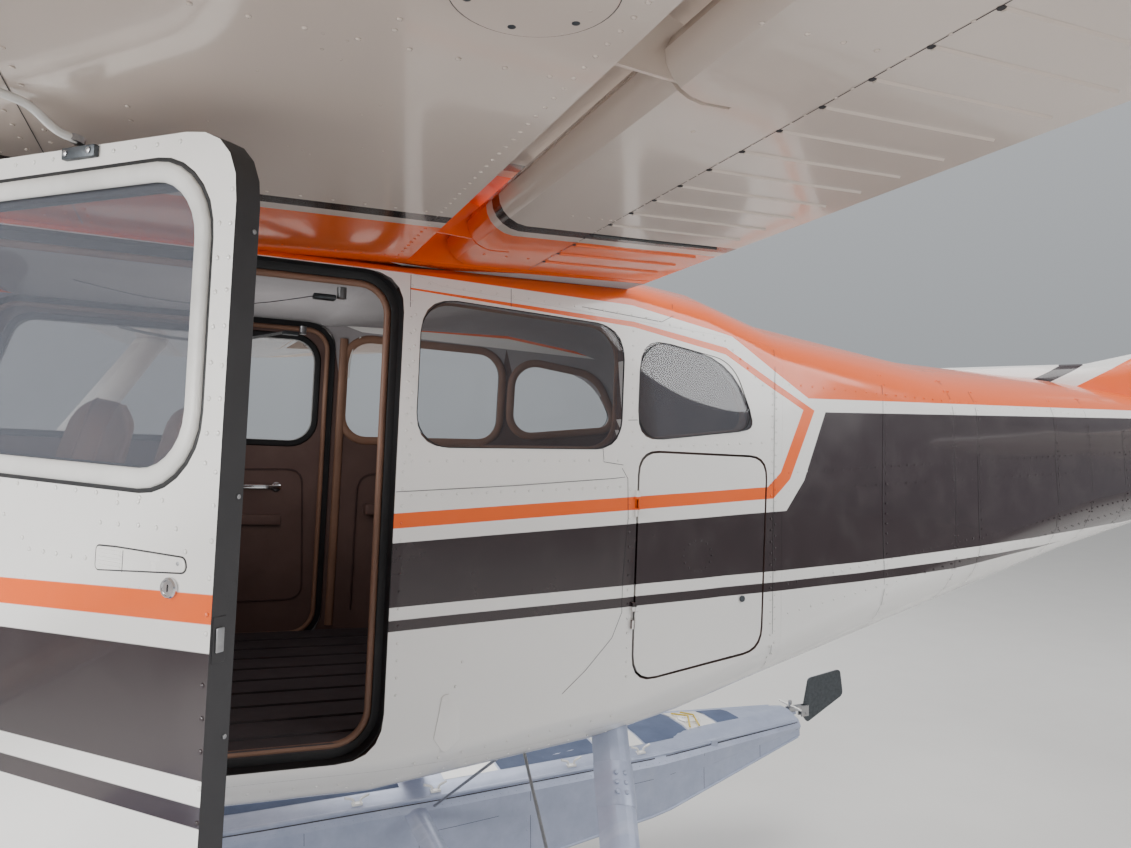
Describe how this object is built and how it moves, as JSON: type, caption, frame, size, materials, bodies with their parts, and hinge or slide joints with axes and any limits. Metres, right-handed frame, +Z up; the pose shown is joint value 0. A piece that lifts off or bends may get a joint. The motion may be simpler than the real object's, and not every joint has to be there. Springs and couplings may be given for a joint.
{
  "type": "floatplane",
  "caption": "High-wing single-engine floatplane on twin aluminium floats, with hinged doors, flaps, control surfaces, water rudders and propeller",
  "frame": {"origin": "on the ground below the middle of the aircraft's box, which its keels stand on", "axes": "+X towards the tail, +Y to the aircraft's own right, +Z up; the airframe sits 3.05 degrees nose up on its level floats"},
  "size_m": [8.3738, 10.92, 3.1999],
  "materials": {
    "white_paint": "gloss",
    "wing_paint": "gloss",
    "roof_paint": "gloss",
    "tail_paint": "gloss",
    "float_skin": "satin",
    "float_rig": "satin",
    "steel": "satin",
    "engine": "matte",
    "rudder_blade": "matte",
    "propeller_paint": "satin",
    "window": "polished",
    "leather": "satin",
    "floor_mat": "matte",
    "panel": "matte"
  },
  "bodies": {
    "airframe": {"cowling": "white_paint", "engine_block": "engine", "exhaust_stack": "steel", "firewall": "white_paint", "cabin_roof": "roof_paint", "cabin_belly": "white_paint", "cabin_floor": "floor_mat", "baggage_bulkhead": "white_paint", "tail_cone": "tail_paint", "windshield": "window", "instrument_panel": "panel", "seat_rear": "leather", "stabilizer": "wing_paint", "fin": "wing_paint", "spreader_front": "float_rig", "spreader_rear": "float_rig", "cabin_side_left": "white_paint", "cabin_side_right": "white_paint", "window_mid_left": "window", "window_mid_right": "window", "window_rear_left": "window", "window_rear_right": "window", "seat_front_left": "leather", "seat_front_right": "leather", "wing_left": "wing_paint", "wing_right": "wing_paint", "wing_strut_left": "wing_paint", "wing_strut_right": "wing_paint", "float_left": "float_skin", "float_right": "float_skin", "float_strut_front_left": "float_rig", "float_strut_front_right": "float_rig", "float_strut_rear_left": "float_rig", "float_strut_rear_right": "float_rig", "stay_front_left": "steel", "stay_front_right": "steel", "stay_rear_left": "steel", "stay_rear_right": "steel"},
    "aileron_left": {"aileron_left": "wing_paint"},
    "aileron_right": {"aileron_right": "wing_paint"},
    "flap_left": {"flap_left": "wing_paint"},
    "flap_right": {"flap_right": "wing_paint"},
    "elevator": {"elevator": "wing_paint"},
    "rudder": {"rudder": "wing_paint"},
    "water_rudder_post_left": {"water_rudder_post_left": "steel"},
    "water_rudder_post_right": {"water_rudder_post_right": "steel"},
    "water_rudder_blade_left": {"water_rudder_blade_left": "rudder_blade"},
    "water_rudder_blade_right": {"water_rudder_blade_right": "rudder_blade"},
    "door_left": {"door_left": "white_paint", "door_window_left": "window"},
    "door_right": {"door_right": "white_paint", "door_window_right": "window"},
    "baggage_door": {"baggage_door": "white_paint"},
    "propeller": {"propeller": "propeller_paint", "spinner": "white_paint"}
  },
  "joints": [
    {"name": "aileron_right", "type": "hinge", "parent": "airframe", "child": "aileron_right", "pos_m": [-0.48961, 2.56, 2.53907], "axis": [-0.0894, 0.9949, 0.0463], "range_deg": [-20, 20]},
    {"name": "aileron_left", "type": "hinge", "parent": "airframe", "child": "aileron_left", "pos_m": [-0.48961, -2.56, 2.53907], "axis": [0.0894, 0.9949, -0.0463], "range_deg": [-20, 20]},
    {"name": "flap_right", "type": "hinge", "parent": "airframe", "child": "flap_right", "pos_m": [-0.67199, 0.606, 2.24414], "axis": [0.0016, 0.9995, 0.0301], "range_deg": [0, 40]},
    {"name": "flap_left", "type": "hinge", "parent": "airframe", "child": "flap_left", "pos_m": [-0.67199, -0.606, 2.24414], "axis": [-0.0016, 0.9995, -0.0301], "range_deg": [0, 40]},
    {"name": "elevator", "type": "hinge", "parent": "airframe", "child": "elevator", "pos_m": [3.55677, 0, 2.14603], "axis": [0, 1, 0], "range_deg": [-26, 20]},
    {"name": "rudder", "type": "hinge", "parent": "airframe", "child": "rudder", "pos_m": [3.65369, 0, 2.46132], "axis": [0.0532, 0, 0.9986], "range_deg": [-24, 24]},
    {"name": "water_rudder_steer_right", "type": "hinge", "parent": "airframe", "child": "water_rudder_post_right", "pos_m": [1.60206, 1.12, 0.6], "axis": [0, 0, 1], "range_deg": [-24, 24]},
    {"name": "water_rudder_lift_right", "type": "hinge", "parent": "water_rudder_post_right", "child": "water_rudder_blade_right", "pos_m": [1.69206, 1.12, 0.6], "axis": [0, 1, 0], "range_deg": [0, 95]},
    {"name": "water_rudder_steer_left", "type": "hinge", "parent": "airframe", "child": "water_rudder_post_left", "pos_m": [1.60206, -1.12, 0.6], "axis": [0, 0, 1], "range_deg": [-24, 24]},
    {"name": "water_rudder_lift_left", "type": "hinge", "parent": "water_rudder_post_left", "child": "water_rudder_blade_left", "pos_m": [1.69206, -1.12, 0.6], "axis": [0, 1, 0], "range_deg": [0, 95]},
    {"name": "door_left", "type": "hinge", "parent": "airframe", "child": "door_left", "pos_m": [-1.87574, -0.5835, 1.4541], "axis": [0.0282, 0, 0.9996], "range_deg": [0, 48.5]},
    {"name": "door_right", "type": "hinge", "parent": "airframe", "child": "door_right", "pos_m": [-1.87574, 0.5835, 1.4541], "axis": [0.0282, 0, 0.9996], "range_deg": [0, 48.5]},
    {"name": "baggage_door", "type": "hinge", "parent": "airframe", "child": "baggage_door", "pos_m": [-0.13342, -0.52088, 1.6016], "axis": [-0.0532, -0.028, -0.9982], "range_deg": [0, 100]},
    {"name": "propeller_spin", "type": "hinge", "parent": "airframe", "child": "propeller", "pos_m": [-3.44406, 0, 1.75297], "axis": [0.9986, 0, -0.0532], "continuous": true}
  ],
  "couplings": [
    {"joint": "aileron_left", "follows": "aileron_right", "ratio": -1},
    {"joint": "flap_left", "follows": "flap_right", "ratio": 1},
    {"joint": "water_rudder_steer_left", "follows": "rudder", "ratio": 1},
    {"joint": "water_rudder_steer_right", "follows": "rudder", "ratio": 1},
    {"joint": "water_rudder_lift_left", "follows": "water_rudder_lift_right", "ratio": 1}
  ]
}
